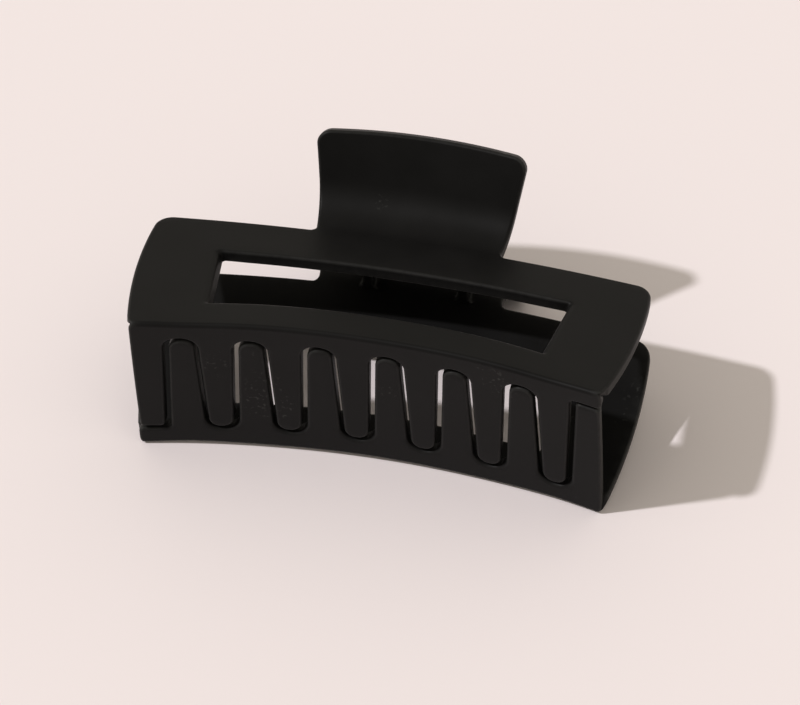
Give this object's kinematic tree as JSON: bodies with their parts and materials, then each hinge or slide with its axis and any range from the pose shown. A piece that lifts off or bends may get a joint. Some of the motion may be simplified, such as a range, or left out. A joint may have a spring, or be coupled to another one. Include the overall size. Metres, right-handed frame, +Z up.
{
  "type": "claw clip",
  "caption": "Long rectangular claw clip for hair: two windowed jaws with interlocking teeth and thumb handles on a sprung hinge.",
  "frame": {"origin": "on the surface the clip lies on, under the middle of its box, with the clip closed and lying on its lower jaw", "axes": "+X along the hinge, +Y from the teeth towards the handles, +Z up"},
  "size_m": [0.1098, 0.0654, 0.0467],
  "materials": {
    "black_plastic": "matt soft-touch coating on moulded plastic",
    "spring_steel": "drawn wire",
    "pin_steel": "bright cut rod"
  },
  "bodies": {
    "lower_jaw": {"lower_jaw": "black_plastic", "hinge_pin": "pin_steel", "torsion_spring": "spring_steel"},
    "upper_jaw": {"upper_jaw": "black_plastic"}
  },
  "joints": [
    {"name": "jaw_hinge", "type": "hinge", "parent": "lower_jaw", "child": "upper_jaw", "pos_m": [0, 0.01436, 0.02259], "axis": [-1, 0, 0], "range_deg": [0, 80], "stiffness_Nm_per_rad": 0.1, "springref_deg": -20.05, "deforming": ["torsion_spring"]}
  ]
}
